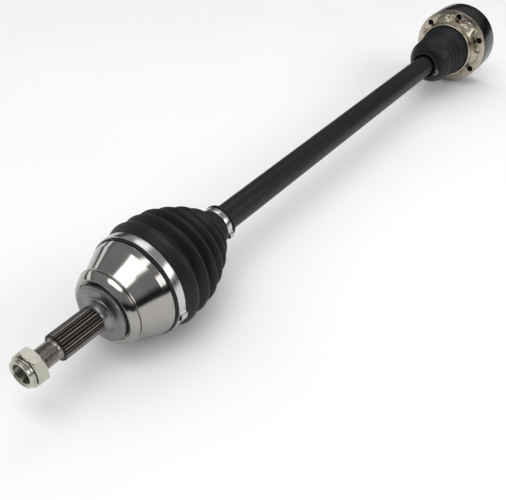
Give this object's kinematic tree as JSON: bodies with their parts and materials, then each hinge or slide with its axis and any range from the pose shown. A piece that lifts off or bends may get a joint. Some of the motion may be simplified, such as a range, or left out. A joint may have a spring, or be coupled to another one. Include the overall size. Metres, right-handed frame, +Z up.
{
  "type": "cv axle",
  "caption": "Front drive half shaft: splined bell joint with axle nut, bar shaft, two bellows boots and a flanged plunging joint.",
  "frame": {"origin": "under the middle of the axle, on the surface it lies on", "axes": "+X along the axle from the wheel end to the gearbox end, +Z up; the axle's axis is 53.3 mm above the surface"},
  "size_m": [0.829, 0.1066, 0.1066],
  "materials": {
    "machined_steel": "bright turned steel",
    "race_steel": "ground steel",
    "ball_steel": "polished",
    "spring_steel": "dark oiled steel",
    "clamp_steel": "bright stainless band",
    "zinc_steel": "pale zinc plate",
    "passivated_steel": "yellow passivated sheet",
    "black_steel": "gloss black",
    "satin_black": "satin black",
    "boot_rubber": "satin rubber",
    "gasket_paper": "fibre gasket"
  },
  "bodies": {
    "inner_housing": {"inner_joint_housing": "black_steel", "inner_boot_can": "passivated_steel", "inner_gasket": "gasket_paper", "inner_end_cover": "passivated_steel"},
    "inner_boot_carriage": {"inner_boot": "boot_rubber"},
    "inner_cage": {"inner_cage": "race_steel", "inner_ball_1": "ball_steel", "inner_ball_2": "ball_steel", "inner_ball_3": "ball_steel", "inner_ball_4": "ball_steel", "inner_ball_5": "ball_steel", "inner_ball_6": "ball_steel"},
    "shaft": {"axle_shaft": "satin_black", "inner_inner_race": "race_steel", "inner_circlip": "spring_steel", "inner_dished_washer": "spring_steel", "inner_boot_small_clamp": "clamp_steel", "outer_inner_race": "race_steel", "outer_circlip": "spring_steel", "outer_thrust_ring": "spring_steel", "outer_dished_washer": "spring_steel", "outer_boot_small_clamp": "clamp_steel"},
    "outer_cage": {"outer_cage": "race_steel", "outer_ball_1": "ball_steel", "outer_ball_2": "ball_steel", "outer_ball_3": "ball_steel", "outer_ball_4": "ball_steel", "outer_ball_5": "ball_steel", "outer_ball_6": "ball_steel", "outer_boot": "boot_rubber"},
    "outer_housing": {"outer_joint_housing": "machined_steel", "outer_boot_large_clamp": "clamp_steel", "axle_nut": "zinc_steel"}
  },
  "joints": [
    {"name": "inner_plunge", "type": "slide", "parent": "inner_housing", "child": "inner_boot_carriage", "axis": [1, 0, 0], "range_m": [-0.006, 0.006], "deforming": ["inner_boot"]},
    {"name": "inner_cage_tilt", "type": "hinge", "parent": "inner_boot_carriage", "child": "inner_cage", "pos_m": [0.3905, 0, 0.0533], "axis": [0, 1, 0], "range_deg": [-10, 10]},
    {"name": "inner_shaft_tilt", "type": "hinge", "parent": "inner_cage", "child": "shaft", "pos_m": [0.3905, 0, 0.0533], "axis": [0, 1, 0], "range_deg": [-10, 10]},
    {"name": "outer_cage_tilt", "type": "hinge", "parent": "shaft", "child": "outer_cage", "pos_m": [-0.2975, 0, 0.0533], "axis": [0, 0, 1], "range_deg": [-23, 23], "deforming": ["outer_boot"]},
    {"name": "outer_housing_tilt", "type": "hinge", "parent": "outer_cage", "child": "outer_housing", "pos_m": [-0.2975, 0, 0.0533], "axis": [0, 0, 1], "range_deg": [-23, 23]}
  ],
  "couplings": [
    {"joint": "inner_shaft_tilt", "follows": "inner_cage_tilt", "ratio": 1},
    {"joint": "outer_housing_tilt", "follows": "outer_cage_tilt", "ratio": 1}
  ]
}
